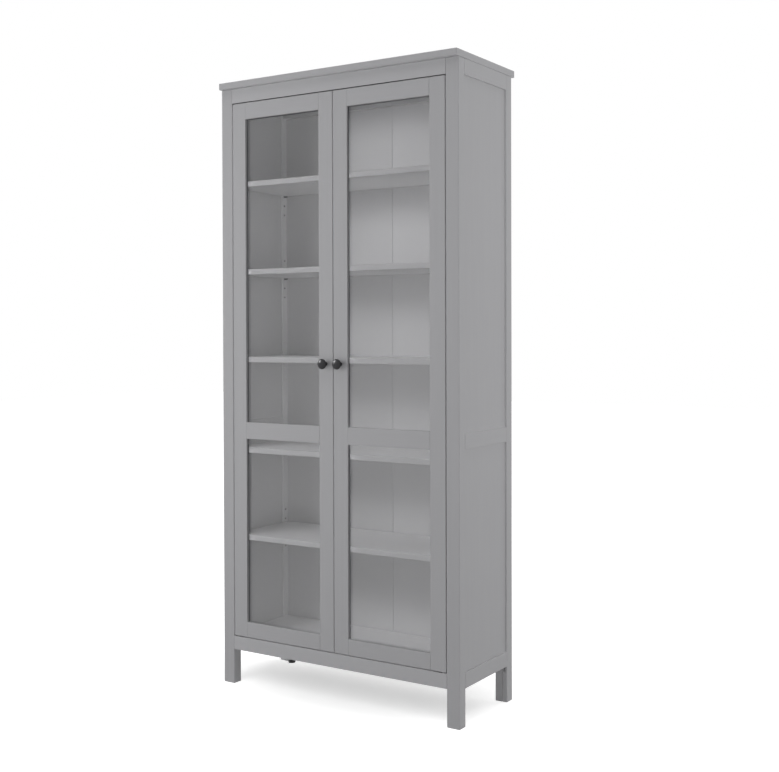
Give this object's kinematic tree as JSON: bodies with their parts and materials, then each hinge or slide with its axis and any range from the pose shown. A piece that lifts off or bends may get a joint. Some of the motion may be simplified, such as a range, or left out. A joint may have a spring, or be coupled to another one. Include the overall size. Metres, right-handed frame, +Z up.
{
  "type": "glass-door cabinet",
  "caption": "Tall free-standing cabinet with framed glass doors on pivot hinges, frame-and-panel sides, an overhanging top, adjustable shelves and round knobs.",
  "frame": {"origin": "on the floor, in the middle of the cabinet's width and of its depth with the knobs counted in", "axes": "+Z up, the doors face -Y, +X to the right as seen from the front"},
  "size_m": [0.9, 0.3792, 1.972],
  "materials": {
    "grey_paint": "satin grey paint on wood with a faint grain",
    "clear_glass": "clear float glass",
    "dark_metal": "anthracite satin",
    "bright_steel": "zinc plated",
    "black_plastic": "moulded, matt",
    "pale_plastic": "moulded, matt"
  },
  "bodies": {
    "carcass": {"top_panel": "grey_paint", "front_post_left": "grey_paint", "front_post_right": "grey_paint", "rear_post_left": "grey_paint", "rear_post_right": "grey_paint", "rear_leg_block_left": "grey_paint", "rear_leg_block_right": "grey_paint", "side_top_rail_left": "grey_paint", "side_top_rail_right": "grey_paint", "side_mid_rail_left": "grey_paint", "side_mid_rail_right": "grey_paint", "side_bottom_rail_left": "grey_paint", "side_bottom_rail_right": "grey_paint", "side_panel_upper_left": "grey_paint", "side_panel_upper_right": "grey_paint", "side_panel_lower_left": "grey_paint", "side_panel_lower_right": "grey_paint", "front_top_rail": "grey_paint", "front_bottom_rail": "grey_paint", "rear_top_rail": "grey_paint", "rear_bottom_rail": "grey_paint", "bottom_panel": "grey_paint", "fixed_shelf": "grey_paint", "shelf_upper_1": "grey_paint", "shelf_upper_2": "grey_paint", "shelf_upper_3": "grey_paint", "shelf_lower_1": "grey_paint", "back_panel_left": "grey_paint", "back_panel_right": "grey_paint", "back_joint_strip": "grey_paint", "levelling_foot": "black_plastic", "magnetic_catch": "pale_plastic", "hinge_plate_top_left": "bright_steel", "hinge_plate_top_right": "bright_steel", "hinge_plate_bottom_left": "bright_steel", "hinge_plate_bottom_right": "bright_steel"},
    "left_door": {"hinge_stile_left": "grey_paint", "meeting_stile_left": "grey_paint", "door_top_rail_left": "grey_paint", "door_mid_rail_left": "grey_paint", "door_bottom_rail_left": "grey_paint", "upper_pane_left": "clear_glass", "lower_pane_left": "clear_glass", "hinge_socket_top_left": "bright_steel", "hinge_socket_bottom_left": "bright_steel", "knob_left": "dark_metal", "knob_screw_left": "bright_steel", "catch_strike_left": "bright_steel"},
    "right_door": {"hinge_stile_right": "grey_paint", "meeting_stile_right": "grey_paint", "door_top_rail_right": "grey_paint", "door_mid_rail_right": "grey_paint", "door_bottom_rail_right": "grey_paint", "upper_pane_right": "clear_glass", "lower_pane_right": "clear_glass", "hinge_socket_top_right": "bright_steel", "hinge_socket_bottom_right": "bright_steel", "knob_right": "dark_metal", "knob_screw_right": "bright_steel", "catch_strike_right": "bright_steel"}
  },
  "joints": [
    {"name": "left_door_hinge", "type": "hinge", "parent": "carcass", "child": "left_door", "pos_m": [-0.39, -0.15285, 1.0306], "axis": [0, 0, -1], "range_deg": [0, 110]},
    {"name": "right_door_hinge", "type": "hinge", "parent": "carcass", "child": "right_door", "pos_m": [0.39, -0.15285, 1.0306], "axis": [0, 0, 1], "range_deg": [0, 110]}
  ]
}
